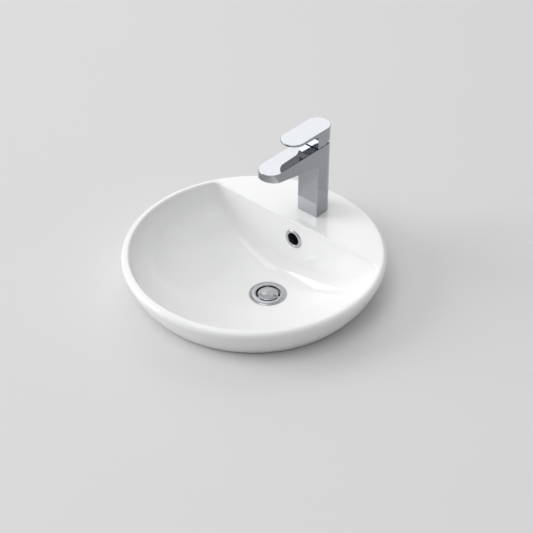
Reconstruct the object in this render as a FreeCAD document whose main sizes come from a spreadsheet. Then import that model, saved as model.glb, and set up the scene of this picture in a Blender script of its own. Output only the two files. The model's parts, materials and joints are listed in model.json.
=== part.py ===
"""Round inset basin of vitreous china with a lever mixer and a pop-up waste.

Millimetres, +Z up, the front of the basin towards -Y. The origin is the centre of the ring
on which the basin rests, so z = 0 is the top of the bench that the bowl hangs through.
"""
import FreeCAD
import Part
import Sketcher
import math
import os
import re

doc = FreeCAD.newDocument("InsetBasin")

SIZES = {
    # China casting: rim and outer wall
    "rim_height": 62.0,
    "rim_width": 16.1,
    "rim_round": 8.5,
    "lip_round": 4.0,
    "seat_inset": 29.6,
    "seat_round": 2.5,
    "seat_overlap": 2.0,
    "skirt_curve": 138.0,
    "skirt_wall": 11.0,
    # China casting: bowl and ledge
    "bowl_radius": 212.5,
    "bowl_depth": 121.0,
    "bowl_fullness": 1.75,
    "floor_radius": 33.0,
    "china_wall": 8.5,
    "ledge_front": 103.0,
    "ledge_thickness": 14.0,
    "valley_round": 27.0,
    "corner_round": 6.5,
    # China casting: waste boss, overflow duct and holes
    "waste_y": 35.5,
    "waste_hole": 26.0,
    "waste_recess": 3.0,
    "recess_clear": 1.2,
    "boss_radius": 38.0,
    "boss_length": 33.0,
    "tap_y": 158.0,
    "tap_hole": 17.5,
    "overflow_drop": 37.3,
    "overflow_hole": 14.5,
    "duct_width": 36.0,
    "duct_depth": 9.0,
    "duct_leg": 12.0,
    "duct_wall": 6.0,
    "duct_round": 5.0,
    # Clearances
    "fit": 0.1,
    "running": 0.3,
    "overrun": 20.0,
    # Overflow trim
    "trim_radius": 18.0,
    "trim_lip": 2.2,
    "trim_bore": 12.0,
    "trim_length": 7.0,
    # Waste
    "flange_radius": 32.3,
    "flange_edge": 1.2,
    "flange_rise": 1.1,
    "mouth_radius": 22.3,
    "mouth_depth": 6.5,
    "seat_bore": 19.0,
    "seat_lip": 3.0,
    "thread_radius": 23.9,
    "tube_bore": 20.5,
    "waste_length": 80.0,
    "tail_thread": 22.0,
    "tail_groove": 2.0,
    "groove_depth": 0.6,
    "slot_width": 14.0,
    "spider_drop": 42.0,
    "spider_height": 6.0,
    "spider_arm": 5.0,
    "hub_radius": 7.0,
    "gasket_height": 1.5,
    "gasket_overlap": 1.5,
    "cone_radius": 34.0,
    "cone_height": 7.0,
    "cone_spigot": 3.5,
    "slip_height": 2.0,
    "nut_flat": 29.5,
    "nut_height": 11.0,
    # Plug and its push mechanism
    "plug_radius": 18.7,
    "plug_dome": 60.0,
    "plug_edge": 1.6,
    "plug_height": 4.0,
    "seal_radius": 21.4,
    "seal_height": 2.2,
    "lug_radius": 21.9,
    "lug_width": 5.5,
    "lug_height": 2.0,
    "lug_turn": 16.0,
    "plug_boss": 7.6,
    "plug_boss_length": 5.5,
    "plunger_radius": 5.3,
    "plunger_grip": 4.0,
    "sleeve_radius": 8.2,
    "sleeve_height": 29.0,
    "sleeve_floor": 3.0,
    "sleeve_stud": 4.0,
    "sleeve_stud_length": 8.0,
    "spring_radius": 4.2,
    "spring_wire": 0.45,
    "spring_height": 6.0,
    # Tap casting
    "tap_half_width": 22.0,
    "column_front": 20.0,
    "column_back": 3.0,
    "spout_top": 141.0,
    "spout_reach": 137.0,
    "spout_tip": 14.4,
    "spout_root": 35.5,
    "edge_break": 0.7,
    "bore_radius": 4.5,
    "bore_height": 116.0,
    "bore_rise": 8.0,
    "inlet_x": 8.0,
    "inlet_y": 5.0,
    "inlet_radius": 4.8,
    "inlet_depth": 14.0,
    "inlet_bore": 3.2,
    # Tap fixing
    "base_gasket_inset": 0.8,
    "base_gasket_height": 1.0,
    "stud_offset": 12.0,
    "stud_radius": 4.0,
    "stud_grip": 16.0,
    "stud_drop": 42.0,
    "washer_radius": 24.0,
    "washer_slot": 13.5,
    "washer_slot_start": 5.0,
    "rubber_height": 3.0,
    "plate_height": 3.0,
    "stud_nut_flat": 6.5,
    "stud_nut_height": 8.0,
    # Aerator
    "aerator_radius": 9.2,
    "aerator_depth": 9.0,
    "aerator_wall": 1.8,
    "aerator_seal_height": 1.5,
    "aerator_lip": 1.2,
    "screen_height": 1.6,
    "screen_hole": 0.9,
    "screen_ring": 4.6,
    # Cartridge
    "cartridge_floor": 100.0,
    "cartridge_radius": 14.4,
    "cartridge_wall": 1.4,
    "port_radius": 3.0,
    "port_ring": 6.6,
    "port_seal": 1.0,
    "port_seal_height": 1.2,
    "port_squeeze": 0.2,
    "base_height": 7.0,
    "disc_height": 3.5,
    "moving_radius": 9.0,
    "carrier_height": 8.0,
    "carrier_floor": 2.0,
    "rotor_gap": 1.5,
    "rotor_height": 11.0,
    "lid_height": 2.5,
    "lid_hole": 9.3,
    "pivot_lift": 5.5,
    "pin_radius": 1.5,
    "nut_wall": 1.8,
    "nut_skirt": 6.0,
    "nut_lip": 2.4,
    # Lever and its stem
    "stem_half_x": 3.0,
    "stem_half_y": 4.0,
    "stem_neck": 1.9,
    "stem_ball": 2.8,
    "slot_half_y": 7.5,
    "lever_gap": 1.0,
    "lever_top": 173.0,
    "lever_reach": 81.5,
    "lever_tip": 3.8,
    "lever_root": 6.0,
    "lever_fillet": 8.0,
    "lift_angle": 18.0,
    "lift_spare": 2.0,
    "socket_depth": 18.0,
    "pocket_radius": 13.0,
    "pocket_depth": 6.0,
    "grub_radius": 2.5,
    "grub_length": 10.0,
    "grub_height": 14.0,
    "cover_radius": 3.4,
    "cover_inset": 0.6,
}

BOWL_RINGS = 7
LUGS = 3
SPIDER_ARMS = 3
SCREEN_HOLES = 8
SPRING_TURNS = 4

# Places that several pieces share
RIM_CORNER = "(bowl_radius + rim_width)"
SEAT_RADIUS = "(bowl_radius + rim_width - seat_inset)"
FLOOR = "(rim_height - bowl_depth)"
RECESS = "(rim_height - bowl_depth - waste_recess)"
BOSS_FOOT = "(rim_height - bowl_depth - boss_length)"
LEDGE_BACK = "(ledge_front + china_wall)"
LEDGE_UNDER = "(rim_height - ledge_thickness)"
OVERFLOW = "(rim_height - overflow_drop)"
FLANGE_UNDER = f"({RECESS} + gasket_height)"
FLANGE_TOP = f"({FLANGE_UNDER} + flange_edge + flange_rise)"
SEAT = f"({FLANGE_TOP} - mouth_depth)"
PLUG_UNDER = f"({SEAT} + seal_height)"
SPIDER = f"({FLOOR} - spider_drop)"
COLUMN_FRONT = "(tap_y - column_front)"
REAR_CENTRE = "(tap_y + column_back)"
COLUMN_REAR = "(tap_y + column_back + tap_half_width)"
SPOUT_TIP_Y = "(tap_y - spout_reach)"
SPOUT_TOP = "(rim_height + spout_top)"
SPOUT_SLOPE = "((spout_root - spout_tip) / (spout_reach - column_front))"
AERATOR_Y = f"({SPOUT_TIP_Y} + tap_half_width)"
AERATOR_Z = f"({SPOUT_TOP} - spout_tip - tap_half_width * {SPOUT_SLOPE})"
CARTRIDGE = "(rim_height + cartridge_floor)"
BASE_UNDER = f"({CARTRIDGE} + port_squeeze)"
BASE_TOP = f"({BASE_UNDER} + base_height)"
FIXED_TOP = f"({BASE_TOP} + disc_height)"
MOVING_TOP = f"({FIXED_TOP} + disc_height)"
CARRIER_TOP = f"({MOVING_TOP} + carrier_height)"
ROTOR_UNDER = f"({CARRIER_TOP} + rotor_gap)"
ROTOR_TOP = f"({ROTOR_UNDER} + rotor_height)"
LID_TOP = f"({ROTOR_TOP} + fit + lid_height)"
PIVOT = f"({ROTOR_UNDER} + pivot_lift)"
BALL = f"({MOVING_TOP} + carrier_floor + running + stem_ball)"
HOUSING_BORE = "(cartridge_radius - cartridge_wall)"
LEVER_UNDER = f"({SPOUT_TOP} + lever_gap)"
LEVER_TOP = "(rim_height + lever_top)"
SOCKET_END = f"({LEVER_UNDER} + socket_depth)"
GRUB = f"({LEVER_UNDER} + grub_height)"
LEVER_TIP_Y = "(tap_y - lever_reach)"

sheet = doc.addObject("Spreadsheet::Sheet", "Sizes")
for row, (alias, size) in enumerate(SIZES.items(), start=1):
    sheet.set(f"A{row}", alias)
    sheet.set(f"B{row}", str(size))
    sheet.setAlias(f"B{row}", alias)
doc.recompute()

pieces = []


# Helpers that draw bound sketches and combine solids

def value(text):
    """The number that an expression of size names gives."""
    result = sheet.evalExpression(text)
    return float(getattr(result, "Value", result))


def bind(thing, field, text):
    """Bind a property to an expression of size names."""
    full = re.sub(r"[a-z_]+", lambda word: f"Sizes.{word[0]}" if word[0] in SIZES else word[0], text)
    thing.setExpression(field, full)


def move(thing, x="0", y="0", z="0"):
    for field, text in zip("xyz", (x, y, z)):
        bind(thing, f"Placement.Base.{field}", text)
    return thing


def turn(thing, axis, angle):
    """Give a body a rotation about one axis, with the angle bound."""
    thing.Placement = FreeCAD.Placement(FreeCAD.Vector(), FreeCAD.Rotation(axis, value(angle)))
    bind(thing, "Placement.Rotation.Angle", angle)
    return thing


def arc_between(start, end, radius):
    """Short arc that runs anticlockwise from start to end."""
    chord = end - start
    rise = math.sqrt(radius ** 2 - (chord.Length / 2) ** 2)
    left = FreeCAD.Vector(-chord.y, chord.x, 0).normalize()
    centre = (start + end) / 2 + left * rise
    first = math.atan2(start.y - centre.y, start.x - centre.x)
    last = math.atan2(end.y - centre.y, end.x - centre.x)
    return Part.ArcOfCircle(Part.Circle(centre, FreeCAD.Vector(0, 0, 1), radius), first, last)


def drawn(body, plane, outline, level=None):
    """Closed sketch on an origin plane. A corner with a third entry starts an arc of that radius."""
    sketch = body.newObject("Sketcher::SketchObject", f"{body.Name}_outline")
    base = next(item for item in body.Origin.OriginFeatures if item.Role == f"{plane}_Plane")
    sketch.AttachmentSupport = [(base, "")]
    sketch.MapMode = "FlatFace"
    if level:
        bind(sketch, "AttachmentOffset.Base.z", level)
    corners = [FreeCAD.Vector(value(corner[0]), value(corner[1]), 0) for corner in outline]
    count = len(outline)
    for index, corner in enumerate(outline):
        start, end = corners[index], corners[(index + 1) % count]
        if len(corner) == 3:
            sketch.addGeometry(arc_between(start, end, value(corner[2])), False)
        else:
            sketch.addGeometry(Part.LineSegment(start, end), False)
    for index, corner in enumerate(outline):
        sketch.addConstraint(Sketcher.Constraint("Coincident", index, 2, (index + 1) % count, 1))
        bound = [("DistanceX", corner[0], (-1, 1, index, 1)), ("DistanceY", corner[1], (-1, 1, index, 1))]
        if len(corner) == 3:
            bound.append(("Radius", corner[2], (index,)))
        for kind, text, places in bound:
            number = sketch.addConstraint(Sketcher.Constraint(kind, *places, value(text)))
            bind(sketch, f"Constraints[{number}]", text)
    return sketch


def turned(name, outline, plane="XZ", x="0", y="0", z="0"):
    """Body turned about the upright axis of its sketch."""
    body = doc.addObject("PartDesign::Body", name)
    sketch = drawn(body, plane, outline)
    solid = body.newObject("PartDesign::Revolution", f"{name}_turned")
    solid.Profile = sketch
    solid.ReferenceAxis = (sketch, ["V_Axis"])
    solid.Angle = 360
    return move(body, x, y, z)


def padded(name, outline, length, plane="XY", level=None, both_ways=False):
    """Body padded square to its sketch."""
    body = doc.addObject("PartDesign::Body", name)
    pad = body.newObject("PartDesign::Pad", f"{name}_pad")
    pad.Profile = drawn(body, plane, outline, level)
    bind(pad, "Length", length)
    pad.SideType = "Symmetric" if both_ways else "One side"
    return body


def ring(name, inner, outer, low, high, x="0", y="0"):
    """Flat ring between two radii and two heights."""
    return turned(name, [(inner, low), (outer, low), (outer, high), (inner, high)], x=x, y=y)


def cylinder(name, radius, length, x="0", y="0", z="0", axis=None, angle="90"):
    """Round tool or pin along Z, or turned from Z about an axis."""
    solid = doc.addObject("Part::Cylinder", name)
    bind(solid, "Radius", radius)
    bind(solid, "Height", length)
    if axis:
        turn(solid, axis, angle)
    return move(solid, x, y, z)


def block(name, width, depth, height, x="0", y="0", z="0"):
    """Box centred on x, starting at y and z."""
    solid = doc.addObject("Part::Box", name)
    bind(solid, "Length", width)
    bind(solid, "Width", depth)
    bind(solid, "Height", height)
    return move(solid, f"{x} - ({width}) / 2", y, z)


def combine(kind, base, *tools):
    """Chain of Part booleans of one kind: Cut, Fuse or Common."""
    for tool in tools:
        result = doc.addObject(f"Part::{kind}", f"{base.Name}_{kind.lower()}")
        result.Base = base
        result.Tool = tool
        result.Refine = True
        base = result
    doc.recompute()
    return base


def rounded(base, radius, chosen):
    """Fillet the edges that the test picks."""
    doc.recompute()
    size = value(radius)
    fillet = doc.addObject("Part::Fillet", f"{base.Name}_round")
    fillet.Base = base
    edges = enumerate(base.Shape.Edges, start=1)
    fillet.Edges = [(number, size, size) for number, edge in edges if chosen(edge)]
    doc.recompute()
    return fillet


def keep(node, thing):
    """Name a finished sub-part and put it on the list to write."""
    thing.Label = node
    pieces.append(thing)
    return thing


def level_edge(height):
    """Test for edges that lie flat at a height."""
    return lambda edge: abs(edge.BoundBox.ZMin - height) < 1e-4 and abs(edge.BoundBox.ZMax - height) < 1e-4


def pill(front, rear, radius):
    """Plan outline with straight sides and a round end at front and rear."""
    return [
        (f"-{radius}", front, radius),
        ("0", f"{front} - {radius}", radius),
        (radius, front),
        (radius, rear, radius),
        ("0", f"{rear} + {radius}", radius),
        (f"-{radius}", rear),
    ]


def hexagon(flat, x, y):
    """Plan outline of a nut from half its width across flats."""
    return [
        (f"{x} + {flat} / cos(30) * cos({60 * corner})", f"{y} + {flat} / cos(30) * sin({60 * corner})")
        for corner in range(6)
    ]


# Basin body: one slip-cast china piece. Its bowl is an ellipse that leans towards the waste,
# a flat wall cuts it off under the tap ledge, and the outer wall stands on the bench ring.

def bowl_ring(radius, y, z):
    circle = doc.addObject("Part::Circle", "bowl_ring")
    bind(circle, "Radius", radius)
    return move(circle, y=y, z=z)


def bowl_solid(name, skin):
    """The bowl's hollow, grown by a skin, in front of the ledge wall. One half is mirrored."""
    wide = f"(bowl_radius + {skin})"
    deep = f"(bowl_depth / (1 - (floor_radius / bowl_radius)^2)^(1 / bowl_fullness) + {skin})"
    last = f"acos(floor_radius / {wide})"
    rings = [bowl_ring(wide, "0", "rim_height + overrun")]
    for step in range(BOWL_RINGS):
        angle = f"({last} * {step} / {BOWL_RINGS - 1})"
        fall = f"(sin({angle}) / sin({last}))^(2 / bowl_fullness)"
        depth = f"{deep} * sin({angle})^(2 / bowl_fullness)"
        rings.append(bowl_ring(f"{wide} * cos({angle})", f"waste_y * ({fall})^3", f"rim_height - {depth}"))
    loft = doc.addObject("Part::Loft", f"{name}_loft")
    loft.Sections = rings
    loft.Solid = True
    span = f"(3 * {deep})"
    back = f"(ledge_front + {skin})"
    top = "(rim_height + overrun)"
    room = block(f"{name}_room", "3 * bowl_radius", "3 * bowl_radius", span,
                 x="overrun - 1.5 * bowl_radius", y=f"{back} - 3 * bowl_radius", z=f"{top} - {span}")
    past_half = combine("Common", loft, room)
    wall, ceiling = value(back), value(top)
    tight, broad = value(f"corner_round + {skin}"), value(f"valley_round + {skin}")

    def rounds(edge):
        """Tight at the rim and broad at the lowest point."""
        ends = [edge.valueAt(end).z for end in (edge.FirstParameter, edge.LastParameter)]
        return [tight if end > ceiling - 1 else broad for end in ends]

    valley = doc.addObject("Part::Fillet", f"{name}_valley")
    valley.Base = past_half
    valley.Edges = [
        (number, *rounds(edge)) for number, edge in enumerate(past_half.Shape.Edges, start=1)
        if edge.BoundBox.YMin > wall - 1e-3 and edge.BoundBox.XLength > 1 and edge.BoundBox.ZLength > 1
    ]
    left = block(f"{name}_left", "3 * bowl_radius", "4 * bowl_radius", f"2 * {span}",
                 x="-1.5 * bowl_radius", y="-2 * bowl_radius", z=f"-{span}")
    half = combine("Common", valley, left)
    other_half = doc.addObject("Part::Mirroring", f"{name}_other_half")
    other_half.Source = half
    other_half.Normal = FreeCAD.Vector(1, 0, 0)
    return combine("Fuse", half, other_half)


def duct_outline(front, rear, foot, step, top):
    """Side view of the overflow duct: down behind the wall, then forward to the waste."""
    return [("waste_y", foot), (rear, foot), (rear, top), (front, top), (front, step), ("waste_y", step)]


def make_basin():
    blank = turned("blank", [
        ("0", "0"),
        (SEAT_RADIUS, "0", "skirt_curve"),
        (RIM_CORNER, "rim_height"),
        ("0", "rim_height"),
    ])
    rim = value("rim_height")
    blank = rounded(blank, "rim_round", level_edge(rim))
    blank = rounded(blank, "seat_round", level_edge(0))
    skirt_inside = f"({SEAT_RADIUS} - skirt_wall)"
    rise = f"(seat_inset * {LEDGE_UNDER} / rim_height)"
    hollow = combine("Common", turned("under_ledge", [
        ("0", "-overrun"),
        (skirt_inside, "-overrun"),
        (skirt_inside, "0"),
        (f"{skirt_inside} + {rise}", LEDGE_UNDER),
        ("0", LEDGE_UNDER),
    ]), block("behind_wall", f"3 * {RIM_CORNER}", RIM_CORNER, "rim_height + overrun", y=LEDGE_BACK,
              z="-overrun"))
    duct_rear = f"({LEDGE_BACK} + duct_depth)"
    duct_skin = padded("duct_skin", duct_outline(
        "ledge_front - valley_round / 2", f"{duct_rear} + duct_wall", BOSS_FOOT,
        f"{FLOOR} + valley_round / 2", f"{LEDGE_UNDER} + duct_wall"),
        "duct_width + 2 * duct_wall", plane="YZ", both_ways=True)
    rear = value(f"{duct_rear} + duct_wall")
    duct_skin = rounded(duct_skin, "duct_round", lambda edge: edge.BoundBox.YMin > rear - 1e-3)
    duct_floor = f"({BOSS_FOOT} + duct_wall)"
    duct_bore = padded("duct_bore", duct_outline(
        LEDGE_BACK, duct_rear, duct_floor, f"{duct_floor} + duct_leg", f"{LEDGE_UNDER} - duct_wall"),
        "duct_width", plane="YZ", both_ways=True)
    boss = cylinder("boss", "boss_radius", "boss_length", y="waste_y", z=BOSS_FOOT)
    body = combine("Cut", blank, hollow)
    under_bench = block("under_bench", f"3 * {RIM_CORNER}", f"3 * {RIM_CORNER}",
                        "3 * bowl_depth + seat_overlap", y=f"-1.5 * {RIM_CORNER}", z="-3 * bowl_depth")
    bowl_skin = combine("Common", bowl_solid("bowl_skin", "china_wall"), under_bench)
    body = combine("Fuse", body, bowl_skin, boss, duct_skin)
    body = combine(
        "Cut", body,
        bowl_solid("bowl_hollow", "0"),
        duct_bore,
        cylinder("recess_hole", "flange_radius + recess_clear", "overrun", y="waste_y", z=RECESS),
        cylinder("waste_bore", "waste_hole", "boss_length + 2 * overrun", y="waste_y",
                 z=f"{BOSS_FOOT} - overrun"),
        cylinder("tap_bore", "tap_hole", "3 * ledge_thickness", y="tap_y",
                 z=f"{LEDGE_UNDER} - ledge_thickness"),
        cylinder("overflow_bore", "overflow_hole", "china_wall + overrun",
                 y=f"{LEDGE_BACK} + duct_depth / 2", z=OVERFLOW, axis=FreeCAD.Vector(1, 0, 0)),
    )
    lip = value(f"{RIM_CORNER} - 1.5 * rim_round")
    flat = level_edge(rim)
    hole_reach = value("tap_y - tap_hole - 1")

    def lip_edge(edge):
        middle = edge.CenterOfMass
        return flat(edge) and edge.BoundBox.YMax < hole_reach and math.hypot(middle.x, middle.y) < lip

    keep("basin_body", rounded(body, "lip_round", lip_edge))


# Overflow trim: a pressed chrome ring pushed into the hole under the ledge.

def make_overflow_trim():
    sleeve = "(overflow_hole - running)"
    keep("overflow_trim", turned("overflow_ring", [
        ("trim_bore", "ledge_front - trim_lip"),
        ("trim_radius - trim_lip", "ledge_front - trim_lip", "trim_lip"),
        ("trim_radius", "ledge_front"),
        (sleeve, "ledge_front"),
        (sleeve, "ledge_front + trim_length"),
        ("trim_bore", "ledge_front + trim_length"),
    ], plane="XY", z=OVERFLOW))


# Waste: a chrome flange and tube clamped through the bowl floor by a backnut. Slots in the
# tube let the overflow water in, and a spider across it carries the push mechanism.

def make_waste():
    tail = f"({FLOOR} - waste_length)"
    groove = f"({tail} + tail_thread)"
    chamfer = "(flange_rise / 2)"
    tube = turned("waste_tube", [
        ("tube_bore", tail),
        ("thread_radius", tail),
        ("thread_radius", groove),
        ("thread_radius - groove_depth", groove),
        ("thread_radius - groove_depth", f"{groove} + tail_groove"),
        ("thread_radius", f"{groove} + tail_groove"),
        ("thread_radius", FLANGE_UNDER),
        ("flange_radius", FLANGE_UNDER),
        ("flange_radius", f"{FLANGE_UNDER} + flange_edge"),
        ("flange_radius - flange_rise", FLANGE_TOP),
        (f"mouth_radius + {chamfer}", FLANGE_TOP),
        ("mouth_radius", f"{FLANGE_TOP} - {chamfer}"),
        ("mouth_radius", SEAT),
        ("seat_bore", SEAT),
        ("seat_bore", f"{SEAT} - seat_lip"),
        ("tube_bore", f"{SEAT} - 2 * seat_lip"),
    ], y="waste_y")
    slot_foot = f"({BOSS_FOOT} + duct_wall)"
    slots = [
        block("slot_across", "4 * thread_radius", "slot_width", "duct_leg",
              y="waste_y - slot_width / 2", z=slot_foot),
        block("slot_along", "slot_width", "4 * thread_radius", "duct_leg",
              y="waste_y - 2 * thread_radius", z=slot_foot),
    ]
    tube = combine("Cut", tube, *slots)
    arm_reach = "((tube_bore + thread_radius) / 2)"
    hub = cylinder("spider_hub", "hub_radius", "spider_height", y="waste_y", z=f"{SPIDER} - spider_height")
    arms = []
    for arm in range(SPIDER_ARMS):
        beam = padded("spider_arm", [
            ("0", "-spider_arm / 2"),
            (arm_reach, "-spider_arm / 2"),
            (arm_reach, "spider_arm / 2"),
            ("0", "spider_arm / 2"),
        ], "spider_height", level=f"{SPIDER} - spider_height")
        turn(beam, FreeCAD.Vector(0, 0, 1), f"lug_turn + 360 * {arm} / {SPIDER_ARMS}")
        arms.append(move(beam, y="waste_y"))
    tube = combine("Fuse", tube, hub, *arms)
    stud_hole = cylinder("hub_bore", "sleeve_stud + fit", "3 * spider_height", y="waste_y",
                         z=f"{SPIDER} - 2 * spider_height")
    keep("waste_body", combine("Cut", tube, stud_hole))
    bore = "(thread_radius + running)"
    keep("waste_flange_gasket", ring("flange_gasket", bore, "flange_radius - gasket_overlap",
                                     RECESS, FLANGE_UNDER, y="waste_y"))
    cone_foot = f"({BOSS_FOOT} - cone_height)"
    spigot = "(waste_hole - running)"
    keep("waste_cone_washer", turned("cone_washer", [
        (bore, cone_foot),
        ("cone_radius", cone_foot),
        ("cone_radius", BOSS_FOOT),
        (spigot, BOSS_FOOT),
        (f"({spigot} + {bore}) / 2", f"{BOSS_FOOT} + cone_spigot"),
        (bore, f"{BOSS_FOOT} + cone_spigot"),
    ], y="waste_y"))
    slip_foot = f"({cone_foot} - slip_height)"
    keep("waste_slip_washer", ring("slip_washer", bore, "cone_radius", slip_foot, cone_foot, y="waste_y"))
    nut = padded("backnut", hexagon("nut_flat", "0", "waste_y"), "nut_height",
                 level=f"{slip_foot} - nut_height")
    nut_bore = cylinder("backnut_bore", "thread_radius + fit", "3 * nut_height", y="waste_y",
                        z=f"{slip_foot} - 2 * nut_height")
    keep("waste_backnut", combine("Cut", nut, nut_bore))


# Plug: a domed chrome cap with three centring lugs, its rubber ring, and the push mechanism
# that holds it down or lets it spring up.

def make_plug():
    crown = f"({PLUG_UNDER} + plug_height)"
    boss_foot = f"({PLUG_UNDER} - plug_boss_length)"
    socket = "(plunger_radius + fit)"
    socket_end = f"({boss_foot} + plunger_grip)"
    cap = turned("cap", [
        ("0", socket_end),
        (socket, socket_end),
        (socket, boss_foot),
        ("plug_boss", boss_foot),
        ("plug_boss", PLUG_UNDER),
        ("plug_radius", PLUG_UNDER),
        ("plug_radius", f"{crown} - plug_edge", "plug_edge"),
        ("plug_radius - plug_edge", crown, "plug_dome"),
        ("0", f"{crown} + plug_dome - sqrt(plug_dome^2 - (plug_radius - plug_edge)^2)"),
    ], y="waste_y")
    lug = cap.newObject("PartDesign::Pad", "lug")
    lug.Profile = drawn(cap, "XY", [
        ("plug_radius - plug_edge", "-lug_width / 2"),
        ("lug_radius", "-lug_width / 2"),
        ("lug_radius", "lug_width / 2"),
        ("plug_radius - plug_edge", "lug_width / 2"),
    ], level=PLUG_UNDER)
    bind(lug, "Length", "lug_height")
    doc.recompute()
    lugs = cap.newObject("PartDesign::PolarPattern", "lugs")
    lugs.Originals = [lug]
    lugs.Axis = (next(item for item in cap.Origin.OriginFeatures if item.Role == "Z_Axis"), [""])
    lugs.Angle = 360
    lugs.Occurrences = LUGS
    cap.Tip = lugs
    turn(cap, FreeCAD.Vector(0, 0, 1), "lug_turn")
    keep("plug_cap", move(cap, y="waste_y"))
    keep("plug_seal", ring("seal_ring", "plug_boss + fit", "seal_radius", SEAT, PLUG_UNDER, y="waste_y"))
    sleeve_bore = "(plunger_radius + running)"
    sleeve_inside = f"({SPIDER} + sleeve_floor)"
    keep("click_sleeve", turned("sleeve", [
        ("0", f"{SPIDER} - sleeve_stud_length"),
        ("sleeve_stud", f"{SPIDER} - sleeve_stud_length"),
        ("sleeve_stud", SPIDER),
        ("sleeve_radius", SPIDER),
        ("sleeve_radius", f"{SPIDER} + sleeve_height"),
        (sleeve_bore, f"{SPIDER} + sleeve_height"),
        (sleeve_bore, sleeve_inside),
        ("0", sleeve_inside),
    ], y="waste_y"))
    plunger_foot = f"({sleeve_inside} + spring_height + running)"
    keep("click_plunger", turned("plunger", [
        ("0", plunger_foot),
        ("plunger_radius", plunger_foot),
        ("plunger_radius", socket_end),
        ("0", socket_end),
    ], y="waste_y"))
    keep("click_spring", make_spring(sleeve_inside))


def make_spring(foot):
    """Coil of round wire, one half turn per arc, pressed flat under the plunger."""
    radius, wire = value("spring_radius"), value("spring_wire")
    low, high = value(foot) + wire + value("running"), value(f"{foot} + spring_height") - wire
    halves = 2 * SPRING_TURNS

    def point(half_turns):
        angle = math.pi * half_turns
        climb = low + (high - low) * half_turns / halves
        return FreeCAD.Vector(radius * math.cos(angle), radius * math.sin(angle), climb)

    arcs = [Part.Arc(point(half), point(half + 0.5), point(half + 1)).toShape() for half in range(halves)]
    path = Part.Wire(arcs)
    start = arcs[0].tangentAt(arcs[0].FirstParameter)
    section = Part.Wire([Part.Circle(point(0), start, wire).toShape()])
    coil = doc.addObject("Part::Feature", "spring_coil")
    coil.Shape = path.makePipeShell([section], True, False)
    return move(coil, y="waste_y")


# Tap body: one brass casting, chromed, whose plan is a pill: the round rear end is the column's
# back and the round front end is the spout's tip. The spout thins towards its tip.

def make_tap_body():
    side = padded("tap_side", [
        (COLUMN_FRONT, "rim_height"),
        (COLUMN_REAR, "rim_height"),
        (COLUMN_REAR, SPOUT_TOP),
        (SPOUT_TIP_Y, SPOUT_TOP),
        (SPOUT_TIP_Y, f"{SPOUT_TOP} - spout_tip"),
        (COLUMN_FRONT, f"{SPOUT_TOP} - spout_root"),
    ], "3 * tap_half_width", plane="YZ", both_ways=True)
    plan = padded("tap_plan", pill(AERATOR_Y, REAR_CENTRE, "tap_half_width"), "2 * spout_top",
                  level="rim_height - overrun")
    solid = combine("Common", side, plan)
    top = value(SPOUT_TOP)
    solid = rounded(solid, "edge_break", level_edge(top))
    thread = "(cartridge_radius + fit + nut_wall)"
    chamber = turned("cartridge_chamber", [
        ("0", CARTRIDGE),
        ("cartridge_radius + fit", CARTRIDGE),
        ("cartridge_radius + fit", f"{LID_TOP} - nut_skirt"),
        (thread, f"{LID_TOP} - nut_skirt"),
        (thread, f"{SPOUT_TOP} + overrun"),
        ("0", f"{SPOUT_TOP} + overrun"),
    ], y="tap_y")
    waterway = cylinder("spout_bore", "bore_radius", "(spout_reach - tap_half_width) / cos(bore_rise)",
                        y="tap_y", z="rim_height + bore_height", axis=FreeCAD.Vector(1, 0, 0),
                        angle="90 - bore_rise")
    aerator_seat = cylinder("aerator_seat", "aerator_radius", "aerator_depth + overrun")
    tools = [chamber, waterway, in_spout(aerator_seat, "-overrun")]
    for hand in ("-inlet_x", "inlet_x"):
        y = "tap_y + inlet_y"
        tools.append(cylinder("inlet_socket", "inlet_radius", "inlet_depth + overrun", hand, y,
                              "rim_height - overrun"))
        tools.append(cylinder("inlet_way", "inlet_bore", "cartridge_floor + port_squeeze", hand, y,
                              "rim_height"))
    tools.append(cylinder("stud_hole", "stud_radius + fit", "stud_grip + overrun",
                          y="tap_y - stud_offset", z="rim_height - overrun"))
    tools.append(padded("gasket_recess", base_outline("(base_gasket_inset - fit)"),
                        "base_gasket_height + overrun", level="rim_height - overrun"))
    keep("tap_body", combine("Cut", solid, *tools))


def in_spout(thing, along):
    """Place a piece on the aerator's axis, square to the spout's underside."""
    slope = f"atan({SPOUT_SLOPE})"
    turn(thing, FreeCAD.Vector(-1, 0, 0), slope)
    return move(thing, y=f"{AERATOR_Y} + ({along}) * sin({slope})",
                z=f"{AERATOR_Z} + ({along}) * cos({slope})")


def base_outline(inset):
    """Plan of the column's foot: flat front, round rear, drawn in by an inset."""
    half = f"(tap_half_width - {inset})"
    front = f"{COLUMN_FRONT} + {inset}"
    return [
        (f"-{half}", front),
        (half, front),
        (half, REAR_CENTRE, half),
        ("0", f"{REAR_CENTRE} + {half}", half),
        (f"-{half}", REAR_CENTRE),
    ]


# Tap fixing: the foot gasket on the ledge, then a stud, a rubber and a steel horseshoe and a nut
# that clamp the column from below. The slot leaves the inlet sockets free.

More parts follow.
